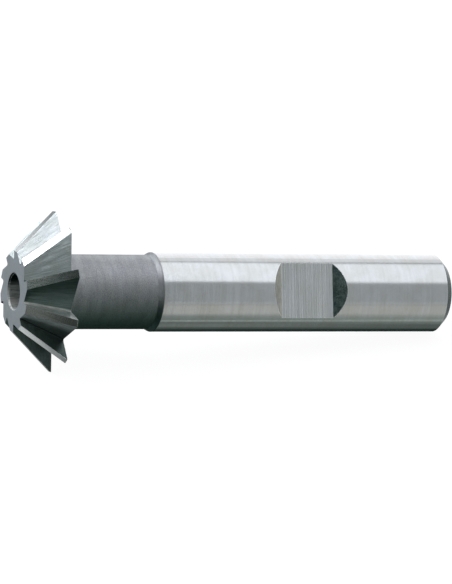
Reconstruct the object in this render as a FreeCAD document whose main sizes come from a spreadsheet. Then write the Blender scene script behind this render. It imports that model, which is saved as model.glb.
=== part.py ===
import FreeCAD, Part

import math
import os

import Sketcher

# Angle milling cutter, one piece of high-speed steel, in millimetres.
# The tool axis is the body's X axis: the small end of the cone is at X = 0 and the shank points to +X.
# The cutter cuts right-handed and has straight radial teeth. It lies on a floor as it comes to rest by
# itself: on the two lips of its lowest gullet and on the rim of the shank's end.

NODE = "angle_cutter"

# Driving sizes: name, value, what it is
SIZES = [
    ("cutting_diameter", 20.0, "largest diameter over the teeth"),
    ("cone_angle", 45.0, "angle between the cutting edges and the axis"),
    ("head_width", 5.1, "width of the toothed head along the axis"),
    ("corner_land", 0.15, "width of the narrow cylinder at the tooth corners"),
    ("tooth_count", 10, "number of teeth"),
    ("gullet_root_front", 4.0, "radius of the gullet root at the front face"),
    ("gullet_root_back", 7.1, "radius of the gullet root at the back of the head"),
    ("gullet_angle", 73.0, "angle between a rake face and the tooth back across the gullet"),
    ("gullet_corner_radius", 0.2, "rounding along the gullet root"),
    ("land_relief", 10.0, "angle at which a land falls away behind its edge"),
    ("front_bore_diameter", 4.4, "blind centring bore in the front face"),
    ("front_bore_depth", 6.0, "depth of its cylindrical part"),
    ("front_bore_rim", 4.75, "diameter of its chamfered rim"),
    ("drill_point_angle", 118.0, "angle of the drilled bottoms"),
    ("neck_fillet", 0.5, "rounding between neck and head"),
    ("shoulder_height", 0.33, "how far the shank stands above the neck"),
    ("shoulder_angle", 30.0, "slope of the shoulder from neck to shank"),
    ("shoulder_place", 18.05, "distance from the front face to the top of the shoulder"),
    ("shoulder_foot_fillet", 0.25, "rounding at the foot of the shoulder"),
    ("shoulder_crown_fillet", 0.45, "rounding at the top of the shoulder"),
    ("front_length", 18.0, "head and neck together, up to the nominal start of the shank"),
    ("shank_diameter", 10.0, "ground shank"),
    ("shank_length", 40.0, "nominal length of the shank"),
    ("end_chamfer", 1.0, "chamfer at the shank's end"),
    ("flat_width", 7.0, "width of the clamping flat's floor along the axis"),
    ("flat_from_end", 20.0, "distance from the shank's end to the middle of the flat"),
    ("flat_depth", 1.4, "depth of the flat below the shank's surface"),
    ("flat_wall_angle", 43.0, "slope of the flat's end walls"),
    ("flat_direction", 26.7, "direction of the flat's outward normal above the horizontal"),
    ("centre_hole_diameter", 2.0, "pilot of the centre hole in the shank's end"),
    ("centre_hole_depth", 4.4, "depth of the pilot"),
    ("centre_cone_diameter", 4.25, "mouth of the centre hole's cone"),
    ("centre_cone_angle", 60.0, "included angle of the centre hole's cone"),
    ("lead_in", 1.0, "how far a cutting tool starts and ends outside the solid"),
]

# Sizes that follow from the ones above: name, formula, what it is
DERIVED = [
    ("total_length", "front_length + shank_length", "overall length"),
    ("flat_front", "total_length - flat_from_end - flat_width / 2", "front end of the flat's floor"),
    ("flat_back", "total_length - flat_from_end + flat_width / 2", "back end of the flat's floor"),
    ("cutting_radius", "cutting_diameter / 2", "radius at the tooth corners"),
    ("cone_width", "head_width - corner_land", "width of the cone along the axis"),
    ("cone_slope", "tan(cone_angle * 1 deg)", "rise of the cutting edges"),
    ("front_radius", "cutting_radius - cone_width * cone_slope", "radius of the teeth in front"),
    ("shank_radius", "shank_diameter / 2", "radius of the shank"),
    ("neck_radius", "shank_radius - shoulder_height", "radius of the neck"),
    ("root_slope", "(gullet_root_back - gullet_root_front) / head_width", "rise of the gullet roots"),
    ("root_at_start", "gullet_root_front - lead_in * root_slope", "root radius at the tool's start"),
    ("edge_at_start", "front_radius - lead_in * cone_slope", "edge radius at the tool's start"),
    ("relief_reach", "cutting_radius * sin(180 deg / tooth_count)", "reach of the relief tool"),
    ("tool_travel", "head_width + 2 * lead_in", "travel of both tools along the axis"),
    ("back_distance", "gullet_root_back * sin(gullet_angle * 1 deg)", "tooth back to the axis"),
    ("gullet_span", "gullet_angle - asin(back_distance / cutting_radius) / 1 deg", "angle of a gullet's mouth"),
    ("first_tooth", "270 + gullet_span / 2", "direction of the first rake face around the axis"),
    ("rest_radius", "cutting_radius * cos(gullet_span / 2 * 1 deg)", "depth of the lowest lips"),
    ("rest_reach", "total_length - end_chamfer - head_width", "distance between the resting places"),
    ("rest_tilt", "atan((rest_radius - shank_radius) / rest_reach) / 1 deg", "slope at rest"),
    ("rest_sine", "sin(rest_tilt * 1 deg)", "sine of that slope"),
    ("rest_cosine", "cos(rest_tilt * 1 deg)", "cosine of that slope"),
    ("rest_height", "head_width * rest_sine + rest_radius * rest_cosine", "height of the front centre"),
    ("lowest_front", "front_radius * cos(gullet_span / 2 * 1 deg)", "depth of the lowest teeth in front"),
    ("end_radius", "shank_radius - end_chamfer", "radius of the shank's end face"),
    ("front_reach", "lowest_front * rest_sine", "reach of the front face"),
    ("back_reach", "total_length * rest_cosine + end_radius * rest_sine", "reach of the shank's end"),
    ("rest_middle", "(back_reach - front_reach) / 2", "middle of the resting cutter along X"),
]

SHEET = "Dimensions"

# How a sketch's constraints name its own axes and origin, and the points of a curve
ORIGIN = X_AXIS = -1
Y_AXIS = X_AXIS - 1
START, END, CENTRE = range(1, 4)

X_DIRECTION = FreeCAD.Vector(1, 0, 0)
Y_DIRECTION = FreeCAD.Vector(0, 1, 0)
Z_DIRECTION = FreeCAD.Vector(0, 0, 1)

# How close two lengths are to count as the same
TOUCH = 0.001


def make_sheet(document):
    """Write the driving sizes as numbers and the others as formulas, each with its name as alias."""
    sheet = document.addObject("Spreadsheet::Sheet", SHEET)
    rows = [(name, str(value), note) for name, value, note in SIZES]
    rows += [(name, "=" + formula, note) for name, formula, note in DERIVED]
    for row, (name, content, note) in enumerate(rows, start=1):
        sheet.set(f"A{row}", name)
        sheet.set(f"B{row}", content)
        sheet.set(f"C{row}", note)
        sheet.setAlias(f"B{row}", name)
    document.recompute()
    return sheet


def size(body, name):
    """Give one value of the sheet, for first positions and for finding edges."""
    return float(body.Document.getObject(SHEET).get(name))


def origin_feature(body, role):
    """Find one of the body's own origin planes or axes by its role."""
    for feature in body.Origin.OriginFeatures:
        if feature.Role == role:
            return feature
    raise ValueError("no origin feature " + role)


def attach_sketch(body, name, role, turn_axis=None, turn=None, offset=None):
    """Attach a sketch to an origin plane, turned about one of its directions and moved off it."""
    sketch = body.newObject("Sketcher::SketchObject", name)
    sketch.AttachmentSupport = [(origin_feature(body, role), "")]
    sketch.MapMode = "FlatFace"
    if turn_axis is not None:
        sketch.AttachmentOffset = FreeCAD.Placement(FreeCAD.Vector(), FreeCAD.Rotation(turn_axis, 1))
        sketch.setExpression(".AttachmentOffset.Rotation.Angle", f"({turn}) * 1 deg")
    if offset is not None:
        sketch.setExpression(".AttachmentOffset.Base.z", offset)
    return sketch


def sheet_formula(text):
    """Put the sheet's name before each of its aliases in a formula."""
    names = {row[0] for row in SIZES + DERIVED}
    return " ".join(f"{SHEET}.{word}" if word in names else word for word in text.split())


def draw_outline(sketch, points):
    """Draw a closed outline of straight lines; line i runs from point i to the next one."""
    corners = [FreeCAD.Vector(x, y, 0) for x, y in points]
    for start, end in zip(corners, corners[1:] + corners[:1]):
        sketch.addGeometry(Part.LineSegment(start, end), False)
    for line in range(len(corners)):
        following = (line + 1) % len(corners)
        sketch.addConstraint(Sketcher.Constraint("Coincident", line, END, following, START))


def level(sketch, *lines):
    """Keep lines parallel to the sketch's own X axis."""
    for line in lines:
        sketch.addConstraint(Sketcher.Constraint("Horizontal", line))


def upright(sketch, *lines):
    """Keep lines parallel to the sketch's own Y axis."""
    for line in lines:
        sketch.addConstraint(Sketcher.Constraint("Vertical", line))


def bind(sketch, name, constraint, formula):
    """Add a dimension, name it and tie it to the sheet."""
    index = sketch.addConstraint(constraint)
    sketch.renameConstraint(index, name)
    sketch.setExpression("Constraints." + name, sheet_formula(formula))


def bind_point(sketch, name, line, end, across=None, along=None):
    """Place one end of a line at a distance from the sketch's origin, along its X or Y axis or both."""
    point = sketch.getPoint(line, end)
    if across is not None:
        constraint = Sketcher.Constraint("DistanceX", ORIGIN, START, line, end, point.x)
        bind(sketch, name + "_x", constraint, across)
    if along is not None:
        constraint = Sketcher.Constraint("DistanceY", ORIGIN, START, line, end, point.y)
        bind(sketch, name + "_y", constraint, along)


def shoulder_foot(body):
    """Give the place on the axis where the shoulder leaves the neck."""
    slope = math.tan(math.radians(size(body, "shoulder_angle")))
    return size(body, "shoulder_place") - size(body, "shoulder_height") / slope


def make_blank(body):
    """Turn the blank: cone, corner land, neck, shoulder and shank.

    Its profile lies in the middle plane of the clamping flat. The shank is drawn in three stretches, so
    that the full cylinders before and behind the flat are faces of their own.
    """
    turn = sheet_formula("90 - flat_direction")
    sketch = attach_sketch(body, "BlankProfile", "XZ_Plane", X_DIRECTION, turn)
    foot = shoulder_foot(body)
    draw_outline(sketch, [
        (0, 0),
        (0, size(body, "front_radius")),
        (size(body, "cone_width"), size(body, "cutting_radius")),
        (size(body, "head_width"), size(body, "cutting_radius")),
        (size(body, "head_width"), size(body, "neck_radius")),
        (foot, size(body, "neck_radius")),
        (size(body, "shoulder_place"), size(body, "shank_radius")),
        (size(body, "flat_front"), size(body, "shank_radius")),
        (size(body, "flat_back"), size(body, "shank_radius")),
        (size(body, "total_length"), size(body, "shank_radius")),
        (size(body, "total_length"), 0),
    ])
    front, cone, land, back, neck, shoulder, shank, beside_flat, behind_flat, end, axis = range(11)
    sketch.addConstraint(Sketcher.Constraint("Coincident", front, START, ORIGIN, START))
    level(sketch, land, neck, shank, beside_flat, behind_flat, axis)
    upright(sketch, front, back, end)
    for line, angle in ((cone, "cone_angle"), (shoulder, "shoulder_angle")):
        slope = Sketcher.Constraint("Angle", line, math.radians(size(body, angle)))
        bind(sketch, angle, slope, angle + " * 1 deg")
    bind_point(sketch, "edge_end", cone, END, across="cone_width", along="cutting_radius")
    bind_point(sketch, "corner", land, END, across="head_width")
    bind_point(sketch, "neck", back, END, along="neck_radius")
    bind_point(sketch, "shoulder", shoulder, END, across="shoulder_place", along="shank_radius")
    bind_point(sketch, "flat_front", shank, END, across="flat_front")
    bind_point(sketch, "flat_back", beside_flat, END, across="flat_back")
    bind_point(sketch, "end", behind_flat, END, across="total_length")
    blank = body.newObject("PartDesign::Revolution", "Blank")
    blank.Profile = sketch
    blank.ReferenceAxis = (origin_feature(body, "X_Axis"), [""])
    blank.Angle = 360
    blank.Refine = False
    body.Document.recompute()
    return blank


def ring_edges(feature, place, radius):
    """Name the circular edges of a feature at one place on the axis with one radius."""
    names = []
    for number, edge in enumerate(feature.Shape.Edges, start=1):
        curve = edge.Curve
        if not isinstance(curve, Part.Circle):
            continue
        if abs(curve.Center.x - place) < TOUCH and abs(curve.Radius - radius) < TOUCH:
            names.append(f"Edge{number}")
    if not names:
        raise ValueError(f"no ring at {place} with radius {radius}")
    return names


def round_ring(body, name, base, place, radius, fillet):
    """Round one turned corner of the blank."""
    feature = body.newObject("PartDesign::Fillet", name)
    feature.Base = (base, ring_edges(base, place, radius))
    feature.setExpression("Radius", sheet_formula(fillet))
    feature.Refine = False
    body.Document.recompute()
    return feature


def soften_blank(body, blank):
    """Round the neck's two ends and chamfer the shank's end."""
    neck_radius = size(body, "neck_radius")
    shank_radius = size(body, "shank_radius")
    foot = shoulder_foot(body)
    crown = size(body, "shoulder_place")
    feature = round_ring(body, "NeckFillet", blank, size(body, "head_width"), neck_radius, "neck_fillet")
    feature = round_ring(body, "FootFillet", feature, foot, neck_radius, "shoulder_foot_fillet")
    feature = round_ring(body, "CrownFillet", feature, crown, shank_radius, "shoulder_crown_fillet")
    chamfer = body.newObject("PartDesign::Chamfer", "EndChamfer")
    chamfer.Base = (feature, ring_edges(feature, size(body, "total_length"), shank_radius))
    chamfer.setExpression("Size", sheet_formula("end_chamfer"))
    chamfer.Refine = False
    body.Document.recompute()
    return chamfer


def drill(body, name, place, diameter, depth, mouth, mouth_angle, towards_shank):
    """Drill a blind hole with a countersunk mouth on the axis."""
    sketch = attach_sketch(body, name + "Centre", "YZ_Plane", offset=place)
    sketch.addGeometry(Part.Circle(FreeCAD.Vector(), Z_DIRECTION, size(body, diameter) / 2), False)
    sketch.addConstraint(Sketcher.Constraint("Coincident", 0, CENTRE, ORIGIN, START))
    bind(sketch, "diameter", Sketcher.Constraint("Diameter", 0, size(body, diameter)), diameter)
    body.Document.recompute()
    hole = body.newObject("PartDesign::Hole", name)
    hole.Profile = sketch
    hole.Reversed = towards_shank
    hole.Threaded = False
    hole.DepthType = "Dimension"
    hole.DrillPoint = "Angled"
    hole.DrillForDepth = False
    hole.HoleCutType = "Countersink"
    hole.HoleCutCustomValues = True
    hole.setExpression("Diameter", sheet_formula(diameter))
    hole.setExpression("Depth", sheet_formula(depth))
    hole.setExpression("DrillPointAngle", sheet_formula("drill_point_angle * 1 deg"))
    hole.setExpression("HoleCutDiameter", sheet_formula(mouth))
    hole.setExpression("HoleCutCountersinkAngle", mouth_angle)
    hole.Refine = False
    body.Document.recompute()
    return hole


def cut_clamping_flat(body):
    """Grind the clamping flat with its two sloping end walls across the shank."""
    turn = sheet_formula("90 - flat_direction")
    sketch = attach_sketch(body, "FlatProfile", "XZ_Plane", X_DIRECTION, turn)
    front = size(body, "flat_front")
    back = size(body, "flat_back")
    floor = size(body, "shank_radius") - size(body, "flat_depth")
    clear = size(body, "shank_radius") + size(body, "lead_in")
    wall_angle = math.radians(size(body, "flat_wall_angle"))
    spread = (clear - floor) / math.tan(wall_angle)
    draw_outline(sketch, [
        (front, floor),
        (back, floor),
        (back + spread, clear),
        (front - spread, clear),
    ])
    ground, back_wall, sky, front_wall = range(4)
    level(sketch, ground, sky)
    sketch.addConstraint(Sketcher.Constraint("Equal", back_wall, front_wall))
    slope = Sketcher.Constraint("Angle", back_wall, wall_angle)
    bind(sketch, "wall_angle", slope, "flat_wall_angle * 1 deg")
    bind_point(sketch, "front", ground, START, across="flat_front", along="shank_radius - flat_depth")
    bind_point(sketch, "back", ground, END, across="flat_back")
    bind_point(sketch, "clear", sky, START, along="shank_radius + lead_in")
    flat = body.newObject("PartDesign::Pocket", "ClampingFlat")
    flat.Profile = sketch
    flat.Midplane = True
    flat.setExpression("Length", sheet_formula("shank_diameter + 2 * lead_in"))
    flat.Refine = False
    body.Document.recompute()
    return flat


def draw_rake_plane(body):
    """Draw the first tooth's gullet root and cutting edge, the travel lines of both tools."""
    sketch = attach_sketch(body, "RakePlane", "XZ_Plane", X_DIRECTION, sheet_formula("first_tooth - 90"))
    front_root = FreeCAD.Vector(0, size(body, "gullet_root_front"), 0)
    back_root = FreeCAD.Vector(size(body, "head_width"), size(body, "gullet_root_back"), 0)
    front_edge = FreeCAD.Vector(0, size(body, "front_radius"), 0)
    back_edge = FreeCAD.Vector(size(body, "cone_width"), size(body, "cutting_radius"), 0)
    sketch.addGeometry(Part.LineSegment(front_root, back_root), False)
    sketch.addGeometry(Part.LineSegment(front_edge, back_edge), False)
    root, edge = range(2)
    for line in (root, edge):
        sketch.addConstraint(Sketcher.Constraint("PointOnObject", line, START, Y_AXIS))
    bind_point(sketch, "root_front", root, START, along="gullet_root_front")
    bind_point(sketch, "root_back", root, END, across="head_width", along="gullet_root_back")
    bind_point(sketch, "edge_front", edge, START, along="front_radius")
    bind_point(sketch, "edge_back", edge, END, across="cone_width", along="cutting_radius")
    return sketch


def tooth_sketch(body, name):
    """Attach a sketch across the axis before the head, with its own X axis in the first rake plane."""
    turn = sheet_formula("first_tooth")
    return attach_sketch(body, name, "YZ_Plane", Z_DIRECTION, turn, sheet_formula("0 - lead_in"))


def draw_relief_profile(body):
    """Draw what the relief tool takes off behind the cutting edge."""
    sketch = tooth_sketch(body, "ReliefProfile")
    edge = size(body, "edge_at_start")
    lead = size(body, "lead_in")
    reach = size(body, "relief_reach")
    fall = math.tan(math.radians(size(body, "land_relief")))
    draw_outline(sketch, [
        (edge + lead * fall, -lead),
        (edge - reach * fall, reach),
        (edge + lead, reach),
        (edge + lead, -lead),
    ])
    land, far_side, outside, near_side = range(4)
    level(sketch, far_side, near_side)
    upright(sketch, outside)
    corner = sketch.addGeometry(Part.Point(FreeCAD.Vector(edge, 0, 0)), True)
    sketch.addConstraint(Sketcher.Constraint("PointOnObject", corner, START, X_AXIS))
    sketch.addConstraint(Sketcher.Constraint("PointOnObject", corner, START, land))
    bind_point(sketch, "edge", corner, START, across="edge_at_start")
    slope = math.radians(90 + size(body, "land_relief"))
    bind(sketch, "relief", Sketcher.Constraint("Angle", land, slope), "( 90 + land_relief ) * 1 deg")
    bind_point(sketch, "reach", land, END, along="relief_reach")
    bind_point(sketch, "outside", outside, END, across="edge_at_start + lead_in", along="0 - lead_in")
    return sketch


def draw_gullet_profile(body):
    """Draw the gullet: a rake face on the sketch's X axis, a sloping tooth back and a rounded root."""
    sketch = tooth_sketch(body, "GulletProfile")
    root = size(body, "root_at_start")
    leg = size(body, "cutting_radius")
    angle = math.radians(size(body, "gullet_angle"))
    rounding = size(body, "gullet_corner_radius")
    shift = rounding / math.tan(angle / 2)
    far = shift + leg
    rake_foot = FreeCAD.Vector(root + shift, 0, 0)
    rake_end = FreeCAD.Vector(root + far, 0, 0)
    back_foot = FreeCAD.Vector(root + shift * math.cos(angle), -shift * math.sin(angle), 0)
    back_end = FreeCAD.Vector(root + far * math.cos(angle), -far * math.sin(angle), 0)
    centre = FreeCAD.Vector(root + shift, -rounding, 0)
    circle = Part.Circle(centre, Z_DIRECTION, rounding)
    first_angle = math.pi / 2
    last_angle = 3 * math.pi / 2 - angle
    rake = sketch.addGeometry(Part.LineSegment(rake_foot, rake_end), False)
    mouth = sketch.addGeometry(Part.LineSegment(rake_end, back_end), False)
    back = sketch.addGeometry(Part.LineSegment(back_end, back_foot), False)
    corner = sketch.addGeometry(Part.ArcOfCircle(circle, first_angle, last_angle), False)
    sharp = sketch.addGeometry(Part.Point(FreeCAD.Vector(root, 0, 0)), True)
    sketch.addConstraint(Sketcher.Constraint("Coincident", rake, END, mouth, START))
    sketch.addConstraint(Sketcher.Constraint("Coincident", mouth, END, back, START))
    sketch.addConstraint(Sketcher.Constraint("Tangent", corner, START, rake, START))
    sketch.addConstraint(Sketcher.Constraint("Tangent", corner, END, back, END))
    sketch.addConstraint(Sketcher.Constraint("PointOnObject", rake, END, X_AXIS))
    sketch.addConstraint(Sketcher.Constraint("PointOnObject", rake, START, X_AXIS))
    sketch.addConstraint(Sketcher.Constraint("PointOnObject", sharp, START, X_AXIS))
    sketch.addConstraint(Sketcher.Constraint("PointOnObject", sharp, START, back))
    sketch.addConstraint(Sketcher.Constraint("Equal", rake, back))
    bind_point(sketch, "root", sharp, START, across="root_at_start")
    opening = Sketcher.Constraint("Angle", back, END, rake, START, angle)
    bind(sketch, "opening", opening, "gullet_angle * 1 deg")
    bind(sketch, "rounding", Sketcher.Constraint("Radius", corner, rounding), "gullet_corner_radius")
    bind(sketch, "leg", Sketcher.Constraint("Distance", rake, leg), "cutting_radius")
    return sketch


def travel_along(body, name, profile, guide, guide_edge):
    """Drive a profile along one line of the rake plane, from in front of the head to behind it."""
    cut = body.newObject("PartDesign::Pocket", name)
    cut.Profile = profile
    cut.ReferenceAxis = (guide, [guide_edge])
    cut.AlongSketchNormal = True
    cut.Reversed = True
    cut.setExpression("Length", sheet_formula("tool_travel"))
    cut.Refine = False
    body.Document.recompute()
    return cut


def cut_teeth(body):
    """Cut one gullet with the relief of its tooth and repeat both around the axis."""
    guide = draw_rake_plane(body)
    relief = travel_along(body, "LandRelief", draw_relief_profile(body), guide, "Edge2")
    gullet = travel_along(body, "Gullet", draw_gullet_profile(body), guide, "Edge1")
    teeth = body.newObject("PartDesign::PolarPattern", "Teeth")
    teeth.Originals = [relief, gullet]
    teeth.Axis = (origin_feature(body, "X_Axis"), [""])
    teeth.Angle = 360
    teeth.setExpression("Occurrences", sheet_formula("tooth_count"))
    teeth.Refine = False
    body.Tip = teeth
    body.Document.recompute()
    return teeth


def lay_down(body):
    """Tilt the cutter onto its resting places, with the floor at Z = 0 and its middle at the origin."""
    body.Placement = FreeCAD.Placement(FreeCAD.Vector(), FreeCAD.Rotation(Y_DIRECTION, 1))
    body.setExpression(".Placement.Rotation.Angle", sheet_formula("rest_tilt * 1 deg"))
    body.setExpression(".Placement.Base.x", sheet_formula("0 - rest_middle"))
    body.setExpression(".Placement.Base.z", sheet_formula("rest_height"))


def build_cutter(document):
    """Build the cutter in the order in which it is turned, drilled, ground and milled."""
    body = document.addObject("PartDesign::Body", "AngleCutter")
    body.Label = NODE
    stages = []
    blank = make_blank(body)
    stages.append(soften_blank(body, blank))
    stages.append(drill(body, "FrontBore", "0 mm", "front_bore_diameter", "front_bore_depth",
                        "front_bore_rim", "90 deg", True))
    stages.append(drill(body, "CentreHole", sheet_formula("total_length"), "centre_hole_diameter",
                        "centre_hole_depth", "centre_cone_diameter",
                        sheet_formula("centre_cone_angle * 1 deg"), False))
    stages.append(cut_clamping_flat(body))
    stages.append(cut_teeth(body))
    volumes = [stage.Shape.Volume for stage in stages]
    for stage, before, after in zip(stages[1:], volumes, volumes[1:]):
        if not after < before - TOUCH:
            raise RuntimeError(stage.Name + " removes nothing")
    lay_down(body)
    document.recompute()
    return body


def check_document(document, bodies):
    """Stop unless every object is computed and every part is one valid closed solid."""
    for item in document.Objects:
        if "Invalid" in item.State or "Error" in item.State:
            raise RuntimeError(item.Name + " failed: " + str(item.State))
    for body in bodies:
        shape = body.Shape
        if shape.isNull() or not shape.isValid() or len(shape.Solids) != 1:
            raise RuntimeError(body.Label + " is not one valid solid")


def main():
    document = FreeCAD.newDocument("AngleMillingCutter")
    make_sheet(document)
    bodies = [build_cutter(document)]
    check_document(document, bodies)
    os.makedirs("parts", exist_ok=True)
    for body in bodies:
        body.Shape.exportStep(os.path.join("parts", body.Label + ".step"))


main()
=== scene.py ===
"""Angle milling cutter on a pale floor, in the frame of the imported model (metres).

The cutter is one closed mesh that stands for its CAD node: a turned blank, from which a clamping flat and
the reliefs and gullets of ten teeth are cut. Each kind of surface is a zone of the mesh with its own steel.
"""
import math

import bmesh
import bpy
from mathutils import Matrix, Vector


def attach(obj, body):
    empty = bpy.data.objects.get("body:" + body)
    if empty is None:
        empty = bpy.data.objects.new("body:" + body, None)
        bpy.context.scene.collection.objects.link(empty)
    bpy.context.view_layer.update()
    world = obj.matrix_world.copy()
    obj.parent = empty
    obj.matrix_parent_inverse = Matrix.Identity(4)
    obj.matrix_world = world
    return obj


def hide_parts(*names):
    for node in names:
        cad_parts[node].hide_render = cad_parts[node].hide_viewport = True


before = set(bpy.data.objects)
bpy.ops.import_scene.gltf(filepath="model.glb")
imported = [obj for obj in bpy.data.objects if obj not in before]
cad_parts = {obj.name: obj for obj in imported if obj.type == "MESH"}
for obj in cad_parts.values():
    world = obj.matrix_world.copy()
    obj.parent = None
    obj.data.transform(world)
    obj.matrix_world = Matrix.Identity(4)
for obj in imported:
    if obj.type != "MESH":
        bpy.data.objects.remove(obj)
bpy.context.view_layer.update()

MM = 0.001

# Sizes in millimetres, as in the solid
CONE_ANGLE = math.radians(45.0)
CUTTING_RADIUS = 10.0
HEAD_WIDTH = 5.1
CORNER_LAND = 0.15
TOOTH_COUNT = 10
ROOT_FRONT = 4.0
ROOT_BACK = 7.1
GULLET_ANGLE = math.radians(73.0)
GULLET_ROUNDING = 0.2
LAND_RELIEF = math.radians(10.0)
BORE_RADIUS = 2.2
BORE_DEPTH = 6.0
BORE_RIM = 2.375
DRILL_HALF_ANGLE = math.radians(59.0)
NECK_FILLET = 0.5
SHOULDER_HEIGHT = 0.33
SHOULDER_ANGLE = math.radians(30.0)
SHOULDER_TOP = 18.05
FOOT_FILLET = 0.25
CROWN_FILLET = 0.45
SHANK_RADIUS = 5.0
TOTAL_LENGTH = 58.0
END_CHAMFER = 1.0
FLAT_MIDDLE = 38.0
FLAT_WIDTH = 7.0
FLAT_DEPTH = 1.4
FLAT_WALL_ANGLE = math.radians(43.0)
FLAT_DIRECTION = math.radians(26.7)
CENTRE_RADIUS = 1.0
CENTRE_DEPTH = 4.4
CENTRE_MOUTH = 2.125
CENTRE_HALF_ANGLE = math.radians(30.0)

# How far the bodies that are cut away reach beyond the steel
LEAD_IN = 1.0

# What follows from them
CONE_SLOPE = math.tan(CONE_ANGLE)
NECK_RADIUS = SHANK_RADIUS - SHOULDER_HEIGHT
SHOULDER_FOOT = SHOULDER_TOP - SHOULDER_HEIGHT / math.tan(SHOULDER_ANGLE)
FRONT_RADIUS = CUTTING_RADIUS - (HEAD_WIDTH - CORNER_LAND) * CONE_SLOPE
ROOT_SLOPE = (ROOT_BACK - ROOT_FRONT) / HEAD_WIDTH
GULLET_SPAN = GULLET_ANGLE - math.asin(ROOT_BACK * math.sin(GULLET_ANGLE) / CUTTING_RADIUS)
FIRST_TOOTH = math.radians(270.0) + GULLET_SPAN / 2
TRAVEL = HEAD_WIDTH + 2 * LEAD_IN

# At rest the cutter lies on the corners of two teeth and on the rim of the shank's end
REST_RADIUS = CUTTING_RADIUS * math.cos(GULLET_SPAN / 2)
REST_TILT = math.atan((REST_RADIUS - SHANK_RADIUS) / (TOTAL_LENGTH - END_CHAMFER - HEAD_WIDTH))
LOWEST_FRONT = FRONT_RADIUS * math.cos(GULLET_SPAN / 2)
FRONT_REACH = LOWEST_FRONT * math.sin(REST_TILT)
BACK_REACH = TOTAL_LENGTH * math.cos(REST_TILT) + (SHANK_RADIUS - END_CHAMFER) * math.sin(REST_TILT)
REST_MIDDLE = (BACK_REACH - FRONT_REACH) / 2
REST_HEIGHT = HEAD_WIDTH * math.sin(REST_TILT) + REST_RADIUS * math.cos(REST_TILT)

# The zones of the surface, in the order of the material slots
ZONES = [
    "shank", "shoulder", "neck", "front", "land", "rake", "painted_highlight_rake", "back", "painted_shade_back",
    "root", "painted_highlight_root", "floor", "near_wall", "far_wall", "bore", "end", "rear",
]
ZONE = {name: number for number, name in enumerate(ZONES)}

# The zones of a gullet's rake face, root and tooth back; one gullet gets copies with painted highlight on
# its rake face and root and painted shade on its tooth back
USUAL_GULLET = ("rake", "root", "back")
PAINTED_LIGHT_GULLET = ("painted_highlight_rake", "painted_highlight_root", "painted_shade_back")
PAINTED_LIGHT_TOOTH = 7

# The mesh: steps around the axis and in a fillet, the weld in millimetres and the limit of smooth shading
RING_STEPS = 240
ARC_STEPS = 6
WELD_DISTANCE = 0.002
SHARP_ANGLE = math.radians(22.0)

# How quickly noise changes to the millimetre; for the clouds, as a share of how quickly the marks do
GRAIN_SCALE = 9.0
GRAIN_DETAIL = 4.0
NOISE_DETAIL = 3.0
CLOUD_SCALE = 0.22
CLOUD_SHARE = 0.3
STAIN_SCALE = 0.45
STAIN = (0.94, 0.93, 0.90)

# The values between which noise and the finished pattern mostly lie
NOISE_RANGE = (0.3, 0.7)
STAIN_RANGE = (0.35, 0.65)
PATTERN_RANGE = (0.2, 0.8)

# Bump in millimetres, and the painted highlight along edges: the cosines of the turn at an edge between
# which it sets in, and the grain that breaks it up, down to its weakest share
BUMP_DEPTH = 0.03
EDGE_SAMPLES = 6
EDGE_COSINES = (0.995, 0.93)
HIGHLIGHT_GRAIN = (0.1, 0.8)
WEAKEST_HIGHLIGHT = 0.4

# The floor, in metres from its middle; its own glow keeps it nearly white under the cutter
FLOOR_REACH = 3.0
FLOOR_COLOUR = (0.12, 0.12, 0.12, 1)
FLOOR_ROUGHNESS = 0.9
FLOOR_GLOW = 0.94
PLAIN_WHITE = (1, 1, 1, 1)

# The camera looks at a point of the frame, in millimetres. Azimuth 0 looks along +Y. Clipping is in metres.
CAMERA_AIM = (-0.573, 0.0, 7.562)
CAMERA_DISTANCE = 518.026
CAMERA_AZIMUTH = math.radians(-22.041)
CAMERA_ELEVATION = math.radians(23.203)
CAMERA_ROLL = math.radians(4.215)
CAMERA_LENS = 252.853
CAMERA_CLIPPING = (0.01, 20.0)


# Geometry
def arc_between(before, corner, after, radius):
    """Points of a fillet that rounds one corner of a profile."""
    backward = (Vector(before) - Vector(corner)).normalized()
    forward = (Vector(after) - Vector(corner)).normalized()
    half = backward.angle(forward) / 2
    reach = radius / math.tan(half)
    centre = Vector(corner) + (backward + forward).normalized() * radius / math.sin(half)
    first = Vector(corner) + backward * reach - centre
    last = Vector(corner) + forward * reach - centre
    turn = first.angle_signed(last)
    points = []
    for step in range(ARC_STEPS + 1):
        angle = -turn * step / ARC_STEPS
        points.append(centre + Matrix.Rotation(angle, 2) @ first)
    return points


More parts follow.
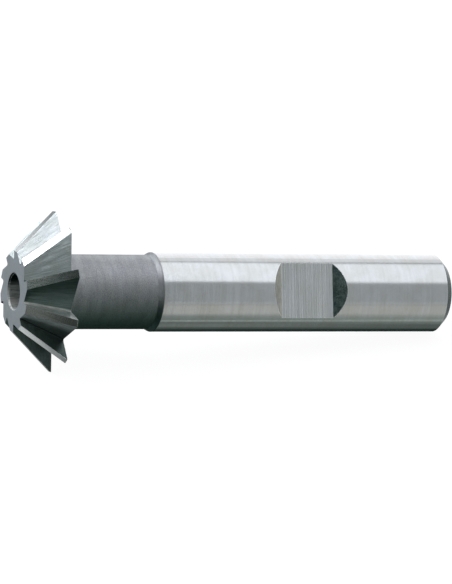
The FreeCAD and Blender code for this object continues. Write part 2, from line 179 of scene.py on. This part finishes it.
def blank_profile():
    """The turned outline from the bottom of the front bore to the bottom of the centre hole, with zones.

    Each corner is a place along the axis and a radius, a fillet, and the zone of the stretch behind it. A
    fillet's arc belongs to the stretch in front of it.
    """
    cone_foot = TOTAL_LENGTH - (CENTRE_MOUTH - CENTRE_RADIUS) / math.tan(CENTRE_HALF_ANGLE)
    pilot_end = TOTAL_LENGTH - CENTRE_DEPTH
    corners = [
        ((BORE_DEPTH + BORE_RADIUS / math.tan(DRILL_HALF_ANGLE), 0.0), 0, "bore"),
        ((BORE_DEPTH, BORE_RADIUS), 0, "bore"),
        ((BORE_RIM - BORE_RADIUS, BORE_RADIUS), 0, "bore"),
        ((0.0, BORE_RIM), 0, "front"),
        ((0.0, FRONT_RADIUS), 0, "land"),
        ((HEAD_WIDTH - CORNER_LAND, CUTTING_RADIUS), 0, "land"),
        ((HEAD_WIDTH, CUTTING_RADIUS), 0, "rear"),
        ((HEAD_WIDTH, NECK_RADIUS), NECK_FILLET, "neck"),
        ((SHOULDER_FOOT, NECK_RADIUS), FOOT_FILLET, "shoulder"),
        ((SHOULDER_TOP, SHANK_RADIUS), CROWN_FILLET, "shank"),
        ((TOTAL_LENGTH - END_CHAMFER, SHANK_RADIUS), 0, "end"),
        ((TOTAL_LENGTH, SHANK_RADIUS - END_CHAMFER), 0, "end"),
        ((TOTAL_LENGTH, CENTRE_MOUTH), 0, "end"),
        ((cone_foot, CENTRE_RADIUS), 0, "bore"),
        ((pilot_end, CENTRE_RADIUS), 0, "bore"),
        ((pilot_end - CENTRE_RADIUS / math.tan(DRILL_HALF_ANGLE), 0.0), 0, "bore"),
    ]
    points, zones = [], []
    for number, (corner, radius, zone) in enumerate(corners):
        if radius:
            arc = arc_between(corners[number - 1][0], corner, corners[number + 1][0], radius)
            points += [tuple(point) for point in arc]
            zones += [zones[-1]] * ARC_STEPS + [zone]
        else:
            points.append(corner)
            zones.append(zone)
    return points, zones


def spin_profile(points, zones):
    """Turn a profile that starts and ends on the axis into a closed mesh.

    The rings are turned by half a step, so that no point lies straight up or level with the axis.
    """
    mesh = bmesh.new()
    rings = []
    for x, radius in points:
        if radius == 0.0:
            rings.append([mesh.verts.new((x, 0, 0))] * RING_STEPS)
            continue
        ring = []
        for step in range(RING_STEPS):
            angle = 2 * math.pi * (step + 0.5) / RING_STEPS
            ring.append(mesh.verts.new((x, radius * math.cos(angle), radius * math.sin(angle))))
        rings.append(ring)
    for first, second, zone in zip(rings, rings[1:], zones):
        for step in range(RING_STEPS):
            following = (step + 1) % RING_STEPS
            corners = []
            for vertex in (first[step], second[step], second[following], first[following]):
                if vertex not in corners:
                    corners.append(vertex)
            face = mesh.faces.new(corners)
            face.material_index = ZONE[zone]
    bmesh.ops.recalc_face_normals(mesh, faces=mesh.faces)
    return mesh


def prism(outline_low, outline_high, zones, cap_zone):
    """A closed prism between two outlines; side i runs from point i to the next one."""
    mesh = bmesh.new()
    low = [mesh.verts.new(point) for point in outline_low]
    high = [mesh.verts.new(point) for point in outline_high]
    count = len(low)
    for side in range(count):
        following = (side + 1) % count
        face = mesh.faces.new((low[side], low[following], high[following], high[side]))
        face.material_index = ZONE[zones[side]]
    for cap in (low[::-1], high):
        face = mesh.faces.new(cap)
        face.material_index = ZONE[cap_zone]
    bmesh.ops.recalc_face_normals(mesh, faces=mesh.faces)
    return mesh


def across_axis(points, x, shift, direction):
    """Place points, given as (outward, sideways), across the axis, moved outward by shift."""
    placed = []
    for outward, sideways in points:
        y = (outward + shift) * math.cos(direction) - sideways * math.sin(direction)
        z = (outward + shift) * math.sin(direction) + sideways * math.cos(direction)
        placed.append((x, y, z))
    return placed


def tooth_tool(profile, zones, slope, direction):
    """A cutting tool that travels from in front of the head to behind it, rising with a slope."""
    low = across_axis(profile, -LEAD_IN, 0.0, direction)
    high = across_axis(profile, HEAD_WIDTH + LEAD_IN, slope * TRAVEL, direction)
    return prism(low, high, zones, "rear")


def gullet_tool(direction, rake, rounding, back):
    """The gullet with the zones of its rake face, rounded root and sloping tooth back.

    Its two legs are as long as the cutting radius, which takes them out of the steel.
    """
    root = ROOT_FRONT - LEAD_IN * ROOT_SLOPE
    leg = CUTTING_RADIUS
    shift = GULLET_ROUNDING / math.tan(GULLET_ANGLE / 2)
    profile = [(root + shift + leg, 0.0)]
    zones = [rake]
    first = 0.5 * math.pi
    last = 1.5 * math.pi - GULLET_ANGLE
    for step in range(ARC_STEPS + 1):
        angle = first + (last - first) * step / ARC_STEPS
        outward = (root + shift) + GULLET_ROUNDING * math.cos(angle)
        sideways = -GULLET_ROUNDING + GULLET_ROUNDING * math.sin(angle)
        profile.append((outward, sideways))
        zones.append(rounding if step < ARC_STEPS else back)
    far = shift + leg
    profile.append((root + far * math.cos(GULLET_ANGLE), -far * math.sin(GULLET_ANGLE)))
    zones.append(back)
    return tooth_tool(profile, zones, ROOT_SLOPE, direction)


def relief_tool(direction):
    """What falls away behind a cutting edge."""
    edge = FRONT_RADIUS - LEAD_IN * CONE_SLOPE
    reach = CUTTING_RADIUS * math.sin(math.pi / TOOTH_COUNT)
    fall = math.tan(LAND_RELIEF)
    profile = [
        (edge + LEAD_IN * fall, -LEAD_IN),
        (edge - reach * fall, reach),
        (edge + LEAD_IN, reach),
        (edge + LEAD_IN, -LEAD_IN),
    ]
    return tooth_tool(profile, ["land"] * 4, CONE_SLOPE, direction)


def flat_tool():
    """The clamping flat with its two sloping end walls; the near one is nearer the head."""
    half = FLAT_WIDTH / 2
    low = SHANK_RADIUS - FLAT_DEPTH
    high = SHANK_RADIUS + LEAD_IN
    spread = (high - low) / math.tan(FLAT_WALL_ANGLE)
    outline = [(-half, low), (half, low), (half + spread, high), (-half - spread, high)]
    normal = Vector((0, -math.cos(FLAT_DIRECTION), math.sin(FLAT_DIRECTION)))
    sideways = Vector((0, math.sin(FLAT_DIRECTION), math.cos(FLAT_DIRECTION)))
    reach = sideways * (SHANK_RADIUS + LEAD_IN)
    ends = []
    for sign in (-1, 1):
        side = reach * sign
        ends.append([Vector((FLAT_MIDDLE + x, 0, 0)) + normal * height + side for x, height in outline])
    return prism(ends[0], ends[1], ["floor", "far_wall", "far_wall", "near_wall"], "far_wall")


def to_object(mesh, name):
    """Give a finished mesh an object with one empty material slot for each zone."""
    data = bpy.data.meshes.new(name)
    mesh.to_mesh(data)
    mesh.free()
    for zone in ZONES:
        data.materials.append(None)
    thing = bpy.data.objects.new(name, data)
    bpy.context.scene.collection.objects.link(thing)
    return thing


def cut(thing, tools):
    """Take every tool's body away from the thing and remove the tools."""
    for tool in tools:
        step = thing.modifiers.new(tool.name, "BOOLEAN")
        step.operation = "DIFFERENCE"
        step.solver = "EXACT"
        step.object = tool
    bpy.context.view_layer.update()
    evaluated = thing.evaluated_get(bpy.context.evaluated_depsgraph_get())
    result = bpy.data.meshes.new_from_object(evaluated)
    thing.modifiers.clear()
    thing.data = result
    for tool in tools:
        bpy.data.objects.remove(tool)


def lay_down(thing):
    """Weld a mesh made in the cutter's own axes and millimetres, and bring it into the frame in metres."""
    mesh = bmesh.new()
    mesh.from_mesh(thing.data)
    bmesh.ops.remove_doubles(mesh, verts=mesh.verts, dist=WELD_DISTANCE)
    bmesh.ops.dissolve_degenerate(mesh, edges=mesh.edges, dist=WELD_DISTANCE)
    turn = Matrix.Rotation(REST_TILT, 4, "Y")
    place = Matrix.Translation((-REST_MIDDLE, 0, REST_HEIGHT))
    bmesh.ops.transform(mesh, matrix=Matrix.Scale(MM, 4) @ place @ turn, verts=mesh.verts)
    mesh.to_mesh(thing.data)
    mesh.free()


def shade(mesh):
    """Smooth the turned surfaces and keep the ground edges sharp."""
    for polygon in mesh.polygons:
        polygon.use_smooth = True
    mesh.set_sharp_from_angle(angle=SHARP_ANGLE)


def make_cutter():
    """Build the whole cutter."""
    cutter = to_object(spin_profile(*blank_profile()), "cutter")
    tools = [to_object(flat_tool(), "flat_tool")]
    for tooth in range(TOOTH_COUNT):
        direction = FIRST_TOOTH + 2 * math.pi * tooth / TOOTH_COUNT
        tools.append(to_object(relief_tool(direction), f"relief_tool_{tooth}"))
        # One gullet takes the zones with painted highlight on its rake face and root and painted shade on
        # its back
        faces = PAINTED_LIGHT_GULLET if tooth == PAINTED_LIGHT_TOOTH else USUAL_GULLET
        tools.append(to_object(gullet_tool(direction, *faces), f"gullet_tool_{tooth}"))
    cut(cutter, tools)
    lay_down(cutter)
    shade(cutter.data)
    return cutter


# Nodes
def link(tree, output, target):
    """Join an output to a socket."""
    tree.links.new(output, target)


def node(tree, kind, **values):
    """Add a node and set its plain properties."""
    made = tree.nodes.new(kind)
    for name, value in values.items():
        setattr(made, name, value)
    return made


def feed(tree, target, value):
    """Give a socket a constant or join it to another node's output."""
    if isinstance(value, bpy.types.NodeSocket):
        link(tree, value, target)
    else:
        target.default_value = value


def reckon(tree, operation, *values):
    """One step of arithmetic with numbers."""
    step = node(tree, "ShaderNodeMath", operation=operation)
    for target, value in zip(step.inputs, values):
        feed(tree, target, value)
    return step.outputs[0]


def reckon_vector(tree, operation, *values):
    """One step of arithmetic with vectors or colours."""
    step = node(tree, "ShaderNodeVectorMath", operation=operation)
    for target, value in zip(step.inputs, values):
        feed(tree, target, value)
    return step.outputs[0]


def span(tree, value, low, high, start=0.0, end=1.0):
    """Turn a value between low and high smoothly into one between start and end."""
    step = node(tree, "ShaderNodeMapRange", interpolation_type="SMOOTHSTEP")
    feed(tree, step.inputs["Value"], value)
    feed(tree, step.inputs["From Min"], low)
    feed(tree, step.inputs["From Max"], high)
    feed(tree, step.inputs["To Min"], start)
    feed(tree, step.inputs["To Max"], end)
    return step.outputs["Result"]


def noise(tree, vector, scale, detail=NOISE_DETAIL):
    """Cloudy noise."""
    cloud = node(tree, "ShaderNodeTexNoise")
    feed(tree, cloud.inputs["Vector"], vector)
    feed(tree, cloud.inputs["Scale"], scale)
    feed(tree, cloud.inputs["Detail"], detail)
    return cloud.outputs["Fac"]


def blend(tree, share, first, second):
    """Mix two colours."""
    mix = node(tree, "ShaderNodeMix", data_type="RGBA")
    feed(tree, mix.inputs["Factor"], share)
    feed(tree, mix.inputs["A"], first)
    feed(tree, mix.inputs["B"], second)
    return mix.outputs["Result"]


def tinted(tree, colour, tint, share):
    """A colour that turns into itself times a tint as the share grows."""
    return blend(tree, share, colour, reckon_vector(tree, "MULTIPLY", colour, tint))


# Materials
def tool_axes(tree):
    """Coordinates in millimetres in the cutter's own axes, with X along its axis from the front face."""
    place = node(tree, "ShaderNodeTexCoord")
    turn = node(tree, "ShaderNodeMapping", vector_type="TEXTURE")
    feed(tree, turn.inputs["Location"], (-REST_MIDDLE * MM, 0, REST_HEIGHT * MM))
    feed(tree, turn.inputs["Rotation"], (0, REST_TILT, 0))
    feed(tree, turn.inputs["Scale"], (MM, MM, MM))
    link(tree, place.outputs["Object"], turn.inputs["Vector"])
    return turn.outputs["Vector"]


def around(tree, axes, along, across):
    """Coordinates for lines that run around the axis: quick along X, slow across it."""
    return reckon_vector(tree, "MULTIPLY", axes, (along, across, across))


def lengthwise(tree, axes, along, across):
    """Coordinates for lines that run along the teeth: slow along X, quick around the axis."""
    split = node(tree, "ShaderNodeSeparateXYZ")
    link(tree, axes, split.inputs[0])
    angle = reckon(tree, "ARCTAN2", split.outputs["Z"], split.outputs["Y"])
    join = node(tree, "ShaderNodeCombineXYZ")
    link(tree, reckon(tree, "MULTIPLY", split.outputs["X"], along), join.inputs["X"])
    link(tree, reckon(tree, "MULTIPLY", angle, across), join.inputs["Y"])
    return join.outputs[0]


def edge_mask(tree, radius):
    """Close to 1 along edges and 0 on open faces."""
    bevel = node(tree, "ShaderNodeBevel", samples=EDGE_SAMPLES)
    feed(tree, bevel.inputs["Radius"], radius * MM)
    surface = node(tree, "ShaderNodeNewGeometry")
    turn = node(tree, "ShaderNodeVectorMath", operation="DOT_PRODUCT")
    link(tree, bevel.outputs["Normal"], turn.inputs[0])
    link(tree, surface.outputs["True Normal"], turn.inputs[1])
    return span(tree, turn.outputs["Value"], *EDGE_COSINES)


def steel(name, dark, light, roughness, marks, grain=0.3, relief=0.1, edge_highlight=0.0, highlight_width=0.12, fades=()):
    """Steel whose colour and roughness vary with cutting marks and a fine grain; its edges can carry a
    painted highlight.

    The colour lies between dark and light, and the roughness is (least, most). marks is (kind, along,
    across): lines around the axis or along the teeth, and how quickly they change along it and across it.
    grain is the share of the fine grain and relief the strength of the bump; the two after them are the
    brightness of a painted highlight along edges and its width in millimetres. Each of the fades is (axis,
    from, to, tint): between two places in millimetres along one of the cutter's own axes, the colour takes
    on that tint.
    """
    material = bpy.data.materials.new(name)
    material.use_nodes = True
    tree = material.node_tree
    shader = tree.nodes["Principled BSDF"]
    axes = tool_axes(tree)
    kind, along, across = marks
    least, most = roughness

    lines = span(tree, noise(tree, kind(tree, axes, along, across), 1.0), *NOISE_RANGE)
    specks = span(tree, noise(tree, axes, GRAIN_SCALE, GRAIN_DETAIL), *NOISE_RANGE)
    clouds = span(tree, noise(tree, kind(tree, axes, along, across), CLOUD_SCALE), *NOISE_RANGE)
    fine = reckon(tree, "MULTIPLY", lines, 1.0 - grain)
    fine = reckon(tree, "MULTIPLY_ADD", specks, grain, fine)
    pattern = reckon(tree, "MULTIPLY", fine, 1.0 - CLOUD_SHARE)
    pattern = reckon(tree, "MULTIPLY_ADD", clouds, CLOUD_SHARE, pattern)

    colour = blend(tree, pattern, (*dark, 1), (*light, 1))
    stains = span(tree, noise(tree, axes, STAIN_SCALE), *STAIN_RANGE)
    colour = tinted(tree, colour, STAIN, stains)
    places = node(tree, "ShaderNodeSeparateXYZ")
    link(tree, axes, places.inputs[0])
    for axis, start, end, tint in fades:
        colour = tinted(tree, colour, tint, span(tree, places.outputs[axis], start, end))
    # Painted highlight: a light line along the edges, broken up by the grain
    if edge_highlight:
        breaks = span(tree, specks, *HIGHLIGHT_GRAIN, WEAKEST_HIGHLIGHT, 1.0)
        highlight = reckon(tree, "MULTIPLY", edge_mask(tree, highlight_width), breaks)
        colour = blend(tree, highlight, colour, (edge_highlight, edge_highlight, edge_highlight, 1))
    link(tree, colour, shader.inputs["Base Color"])
    link(tree, span(tree, pattern, *PATTERN_RANGE, most, least), shader.inputs["Roughness"])
    shader.inputs["Metallic"].default_value = 1.0

    bump = node(tree, "ShaderNodeBump")
    feed(tree, bump.inputs["Strength"], relief)
    feed(tree, bump.inputs["Distance"], BUMP_DEPTH * MM)
    link(tree, fine, bump.inputs["Height"])
    link(tree, bump.outputs["Normal"], shader.inputs["Normal"])
    return material


def make_materials():
    """One steel for each zone of the surface."""
    return {
        "shank": steel(
            "ground_shank", dark=(0.58, 0.59, 0.60), light=(0.66, 0.67, 0.68), roughness=(0.10, 0.16),
            marks=(around, 9.0, 0.3), grain=0.6, relief=0.08, edge_highlight=0.95, highlight_width=0.14,
        ),
        # The neck's steel is dark of its own; painted shade darkens it towards +Y and darkens and greens it
        # below
        "neck": steel(
            "dark_neck", dark=(0.28, 0.29, 0.305), light=(0.44, 0.455, 0.47), roughness=(0.44, 0.54),
            marks=(around, 5.0, 1.0), grain=0.85, relief=0.5, edge_highlight=0.42,
            fades=[("Y", -0.5, 2.2, (0.48, 0.50, 0.50)), ("Z", 2.6, -3.0, (0.21, 0.37, 0.31))],
        ),
        # Painted shade: the shoulder darkens towards +Y and darkens and greens towards the bottom
        "shoulder": steel(
            "shoulder", dark=(0.30, 0.315, 0.33), light=(0.43, 0.445, 0.46), roughness=(0.38, 0.48),
            marks=(around, 7.0, 1.0), grain=0.6, relief=0.3, edge_highlight=0.52,
            fades=[("Y", -1.8, 1.6, (0.5, 0.5, 0.5)), ("Z", 2.5, -2.5, (0.25, 0.42, 0.36))],
        ),
        "front": steel(
            "front_face", dark=(0.40, 0.44, 0.47), light=(0.48, 0.52, 0.55), roughness=(0.38, 0.46),
            marks=(around, 1.0, 4.0), grain=0.5, relief=0.05,
        ),
        # Painted shade: the lands darken towards the rear of the head
        "land": steel(
            "ground_land", dark=(0.50, 0.51, 0.50), light=(0.70, 0.71, 0.72), roughness=(0.24, 0.34),
            marks=(lengthwise, 0.8, 80.0), grain=0.5, relief=0.12, edge_highlight=0.75, highlight_width=0.06,
            fades=[("X", 0.0, HEAD_WIDTH, (0.31, 0.33, 0.32))],
        ),
        # Painted shade: the rake steel is darkened for the shade in the gullets, more towards the rear of
        # the head
        "rake": steel(
            "rake_face", dark=(0.13, 0.18, 0.165), light=(0.27, 0.34, 0.32), roughness=(0.30, 0.42),
            marks=(around, 7.0, 1.5), grain=0.4, relief=0.2, edge_highlight=0.8, highlight_width=0.08,
            fades=[("X", 0.5, HEAD_WIDTH, (0.36, 0.37, 0.37))],
        ),
        # Painted highlight: a near-white copy of the rake steel for one gullet, darker at its rear end
        "painted_highlight_rake": steel(
            "painted_highlight_rake_face", dark=(0.72, 0.75, 0.74), light=(0.92, 0.94, 0.93), roughness=(0.30, 0.42),
            marks=(around, 7.0, 1.5), grain=0.4, relief=0.2, edge_highlight=1.0, highlight_width=0.14,
            fades=[("X", 4.2, HEAD_WIDTH, (0.42, 0.45, 0.44))],
        ),
        "back": steel(
            "tooth_back", dark=(0.28, 0.32, 0.32), light=(0.66, 0.71, 0.71), roughness=(0.30, 0.42),
            marks=(lengthwise, 0.6, 100.0), grain=0.25, relief=0.4, edge_highlight=0.5, highlight_width=0.05,
        ),
        # Painted shade: a nearly black copy of the tooth-back steel for one gullet
        "painted_shade_back": steel(
            "painted_shade_tooth_back", dark=(0.09, 0.14, 0.13), light=(0.25, 0.33, 0.31), roughness=(0.30, 0.42),
            marks=(lengthwise, 0.6, 100.0), grain=0.25, relief=0.4, edge_highlight=0.6, highlight_width=0.05,
        ),
        # Painted shade: the root steel is nearly black for the shade at the bottom of the gullets
        "root": steel(
            "gullet_root", dark=(0.04, 0.06, 0.055), light=(0.10, 0.13, 0.12), roughness=(0.45, 0.6),
            marks=(lengthwise, 0.5, 60.0), grain=0.4, relief=0.2,
        ),
        # Painted highlight: a light copy of the root steel for one gullet
        "painted_highlight_root": steel(
            "painted_highlight_gullet_root", dark=(0.30, 0.34, 0.32), light=(0.66, 0.69, 0.67), roughness=(0.40, 0.55),
            marks=(lengthwise, 1.5, 60.0), grain=0.4, relief=0.2,
        ),
        "floor": steel(
            "flat_floor", dark=(0.60, 0.62, 0.63), light=(0.98, 0.99, 1.00), roughness=(0.24, 0.32),
            marks=(around, 6.0, 0.03), grain=0.04, relief=0.15, edge_highlight=1.0, highlight_width=0.14,
        ),
        "near_wall": steel(
            "flat_near_wall", dark=(0.43, 0.43, 0.41), light=(0.61, 0.61, 0.59), roughness=(0.34, 0.5),
            marks=(around, 6.0, 6.0), grain=0.6, relief=0.4, edge_highlight=0.9, highlight_width=0.14,
        ),
        # Painted shade: the far wall of the flat is a nearly black copy of the near wall's steel
        "far_wall": steel(
            "flat_far_wall_painted_shade", dark=(0.008, 0.032, 0.028), light=(0.17, 0.225, 0.21), roughness=(0.34, 0.5),
            marks=(around, 6.0, 6.0), grain=0.7, relief=1.0, edge_highlight=0.7, highlight_width=0.2,
        ),
        # Painted light and shade: near-white steel on the lower wall, nearly black in the upper part of
        # each hole; the chamfer at the front rim is half as bright
        "bore": steel(
            "bore", dark=(0.34, 0.38, 0.36), light=(0.98, 1.00, 0.98), roughness=(0.56, 0.70),
            marks=(lengthwise, 0.4, 9.0), grain=0.2, relief=0.2, edge_highlight=0.8,
            fades=[("Z", -1.0, 0.9, (0.012, 0.04, 0.035)), ("X", 0.3, 0.1, (0.5, 0.5, 0.5))],
        ),
        "end": steel(
            "end_face", dark=(0.44, 0.46, 0.46), light=(0.56, 0.58, 0.58), roughness=(0.3, 0.4),
            marks=(around, 1.0, 4.0), grain=0.5, relief=0.05,
        ),
        "rear": steel(
            "rear_face", dark=(0.25, 0.26, 0.275), light=(0.37, 0.385, 0.40), roughness=(0.45, 0.55),
            marks=(around, 1.0, 4.0), grain=0.7, relief=0.2,
        ),
    }


# Studio
# It is a set of glowing panels in rings around the cutter's own axis. Where they overlap, their light adds
# up. A ring is (from, to, softness, panels) and covers the directions that lean along the axis by a share
# between two values: -1 is straight out of the front face, 1 straight out of the shank's end. A panel is
# (from, to, softness, tint, brightness) and runs around the axis between two directions in degrees: 0 is
# level towards the camera's side, 90 straight up, 180 level behind the cutter, -90 straight down.
SKY = (1.00, 1.03, 1.08)
WHITE = (1.00, 1.00, 1.03)
CARD = (1.00, 1.00, 0.96)
DUSK = (0.92, 1.00, 0.95)
MOSS = (0.66, 1.00, 0.88)
LILAC = (1.04, 0.98, 1.06)
STUDIO = [
    # Out of the front face
    (-1.1, -0.78, 0.05, [
        (-90, -25, 12, CARD, 0.27),
        (-25, 60, 10, MOSS, 0.06),
        (92, 150, 12, SKY, 1.8),
    ]),
    # For the teeth
    (-0.78, 0.25, 0.05, [
        (168, 184, 5, SKY, 0.87),
        (184, 219, 4, SKY, 0.48),
        (108, 150, 5, SKY, 0.7),
        (72, 108, 8, LILAC, 1.3),
    ]),
    (-0.78, -0.5, 0.05, [
        (108, 150, 5, SKY, 6.5),
    ]),
    (-0.15, 0.08, 0.06, [
        (-15, 60, 10, SKY, 0.4),
        (-90, -15, 12, MOSS, 0.14),
    ]),
    (-0.3, 0.25, 0.05, [
        (148, 166, 4, SKY, 2.6),
    ]),
    (-0.75, -0.5, 0.05, [
        (4, 38, 8, SKY, 1.05),
    ]),
    (-0.6, -0.2, 0.08, [
        (-130, -98, 6, SKY, 0.95),
    ]),
    # For the shank and the neck, softer towards the shank's end and crisper nearer the head
    (0.395, 0.56, 0.012, [
        (145, 212, 6, WHITE, 1.3),
        (122.5, 146, 3, WHITE, 0.98),
        (52, 118.5, 5, SKY, 1.15),
        (-11, 52, 5.5, SKY, 0.4),
        (-50, -11, 8, CARD, 0.5),
        (-68, -50, 6, DUSK, 0.33),
        (-72, -65, 3, DUSK, 0.3),
        (-84, -72, 3, DUSK, 0.2),
        (-112, -84, 4, DUSK, 0.1),
    ]),
    (0.27, 0.395, 0.012, [
        (145, 212, 6, WHITE, 1.3),
        (122, 146, 2, WHITE, 1.0),
        (54, 119.5, 3.5, SKY, 1.26),
        (-11, 54, 3.5, SKY, 0.42),
        (-46, -11, 7, CARD, 0.53),
        (-65, -46, 6, DUSK, 0.26),
        (-72, -66, 1.5, DUSK, 0.42),
        (-80, -72, 1.5, DUSK, 0.14),
        (-99, -80, 3, DUSK, 0.2),
        (-112, -99, 4, DUSK, 0.09),
    ]),
    # Out of the shank's end
    (0.58, 0.8, 0.04, [
        (110, 219, 15, SKY, 0.7),
        (50, 110, 15, SKY, 1.2),
        (-20, 50, 15, SKY, 0.45),
        (-110, -20, 15, CARD, 0.25),
    ]),
    (0.8, 1.1, 0.05, [
        (5, 65, 8, CARD, 1.0),
        (140, 219, 10, DUSK, 0.12),
    ]),
]

# The glow between the panels, and the direction in degrees at which the count around the axis starts
GLOOM = (0.020, 0.036, 0.031)
COUNT_START = -140.0


def window(tree, value, low, high, soft):
    """1 between two values and 0 outside them, with soft edges."""
    rise = span(tree, value, low - soft, low + soft)
    fall = span(tree, value, high - soft, high + soft, 1.0, 0.0)
    return reckon(tree, "MULTIPLY", rise, fall)


def panels(tree, lean, angle):
    """Add up the light of all the panels."""
    light = GLOOM
    for low, high, soft, ring in STUDIO:
        reach = window(tree, lean, low, high, soft)
        for start, end, edge, tint, brightness in ring:
            share = reckon(tree, "MULTIPLY", window(tree, angle, start, end, edge), reach)
            colour = [channel * brightness for channel in tint]
            light = reckon_vector(tree, "MULTIPLY_ADD", colour, share, light)
    return light


def make_world():
    """The studio for everything that the cutter mirrors, and plain white for the camera."""
    world = bpy.data.worlds.new("studio")
    bpy.context.scene.world = world
    world.use_nodes = True
    tree = world.node_tree
    tree.nodes.clear()
    output = node(tree, "ShaderNodeOutputWorld")
    place = node(tree, "ShaderNodeTexCoord")
    turn = node(tree, "ShaderNodeMapping", vector_type="TEXTURE")
    feed(tree, turn.inputs["Rotation"], (0, REST_TILT, 0))
    link(tree, place.outputs["Generated"], turn.inputs["Vector"])
    split = node(tree, "ShaderNodeSeparateXYZ")
    link(tree, turn.outputs["Vector"], split.inputs[0])
    forward = reckon(tree, "MULTIPLY", split.outputs["Y"], -1.0)
    turned = reckon(tree, "ARCTAN2", split.outputs["Z"], forward)
    degrees = reckon(tree, "MULTIPLY", turned, 180.0 / math.pi)
    angle = reckon(tree, "WRAP", degrees, COUNT_START + 360.0, COUNT_START)
    studio = node(tree, "ShaderNodeBackground")
    link(tree, panels(tree, split.outputs["X"], angle), studio.inputs["Color"])
    plain = node(tree, "ShaderNodeBackground")
    feed(tree, plain.inputs["Color"], PLAIN_WHITE)
    path = node(tree, "ShaderNodeLightPath")
    mix = node(tree, "ShaderNodeMixShader")
    link(tree, path.outputs["Is Camera Ray"], mix.inputs["Fac"])
    link(tree, studio.outputs[0], mix.inputs[1])
    link(tree, plain.outputs[0], mix.inputs[2])
    link(tree, mix.outputs[0], output.inputs["Surface"])


def make_floor():
    """A pale floor that takes a faint shadow and isn't mirrored in the steel."""
    mesh = bmesh.new()
    bmesh.ops.create_grid(mesh, x_segments=1, y_segments=1, size=FLOOR_REACH)
    data = bpy.data.meshes.new("pale_floor")
    mesh.to_mesh(data)
    mesh.free()
    floor = bpy.data.objects.new("pale_floor", data)
    bpy.context.scene.collection.objects.link(floor)
    material = bpy.data.materials.new("pale_floor")
    material.use_nodes = True
    shader = material.node_tree.nodes["Principled BSDF"]
    shader.inputs["Base Color"].default_value = FLOOR_COLOUR
    shader.inputs["Roughness"].default_value = FLOOR_ROUGHNESS
    shader.inputs["Specular IOR Level"].default_value = 0.0
    shader.inputs["Emission Color"].default_value = PLAIN_WHITE
    shader.inputs["Emission Strength"].default_value = FLOOR_GLOW
    data.materials.append(material)
    floor.visible_glossy = False


def make_camera():
    """A long lens at the photograph's viewing angle."""
    data = bpy.data.cameras.new("camera")
    camera = bpy.data.objects.new("camera", data)
    bpy.context.scene.collection.objects.link(camera)
    back = Vector((
        math.sin(CAMERA_AZIMUTH) * math.cos(CAMERA_ELEVATION),
        -math.cos(CAMERA_AZIMUTH) * math.cos(CAMERA_ELEVATION),
        math.sin(CAMERA_ELEVATION),
    ))
    place = Matrix.Translation((Vector(CAMERA_AIM) + back * CAMERA_DISTANCE) * MM)
    turn = back.to_track_quat("Z", "Y").to_matrix().to_4x4()
    camera.matrix_world = place @ turn @ Matrix.Rotation(CAMERA_ROLL, 4, "Z")
    data.lens = CAMERA_LENS
    data.clip_start, data.clip_end = CAMERA_CLIPPING
    bpy.context.scene.camera = camera


# The scene
cutter = make_cutter()
materials = make_materials()
for number, zone in enumerate(ZONES):
    cutter.data.materials[number] = materials[zone]
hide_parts("angle_cutter")
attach(cutter, "root")
make_world()
make_floor()
make_camera()
bpy.context.scene.view_settings.view_transform = "Standard"
